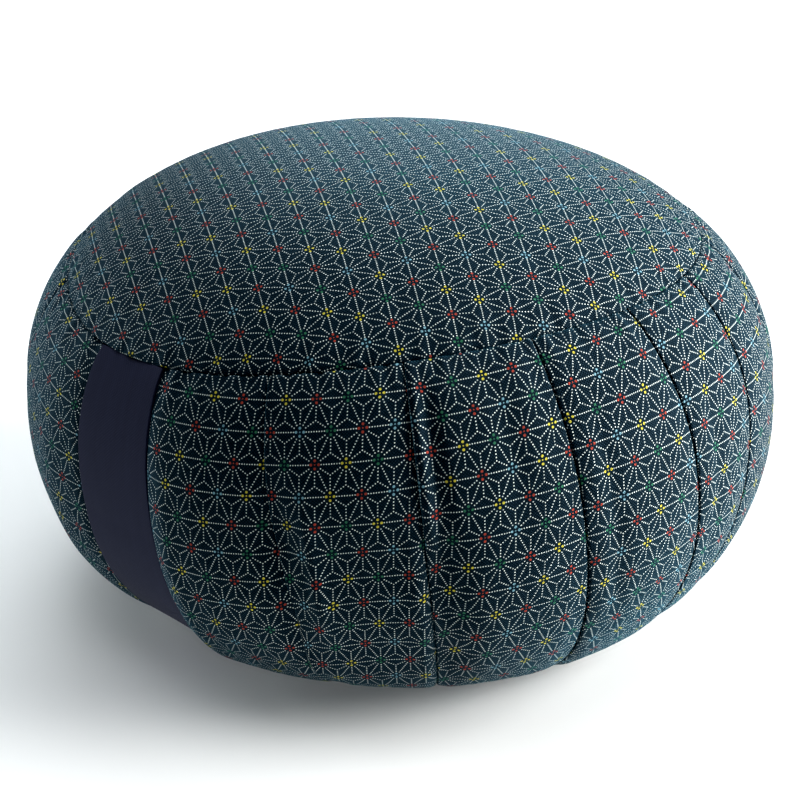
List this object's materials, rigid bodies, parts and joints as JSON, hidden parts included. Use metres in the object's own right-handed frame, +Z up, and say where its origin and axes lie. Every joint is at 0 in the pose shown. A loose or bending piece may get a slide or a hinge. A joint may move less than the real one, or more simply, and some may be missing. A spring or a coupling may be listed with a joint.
{
  "type": "zafu meditation cushion",
  "caption": "Round, firmly filled floor cushion with a crowned top, a knife-pleated side band, a flat base and a plain cloth strap handle; a low seat for sitting cross-legged.",
  "frame": {"origin": "on the floor, under the middle of the cushion", "axes": "+Z up out of the crown; the front faces -Y, and the handle lies to its left, 46 degrees from -Y towards -X"},
  "size_m": [0.335, 0.3274, 0.202],
  "materials": {
    "printed_cotton": "deep blue-green plain-weave cotton printed with a fine dotted hemp-leaf pattern",
    "plain_cotton": "matt dark navy cotton"
  },
  "bodies": {
    "root": {"side_band": "printed_cotton", "top_panel": "printed_cotton", "base_panel": "printed_cotton", "handle": "plain_cotton"}
  },
  "joints": []
}
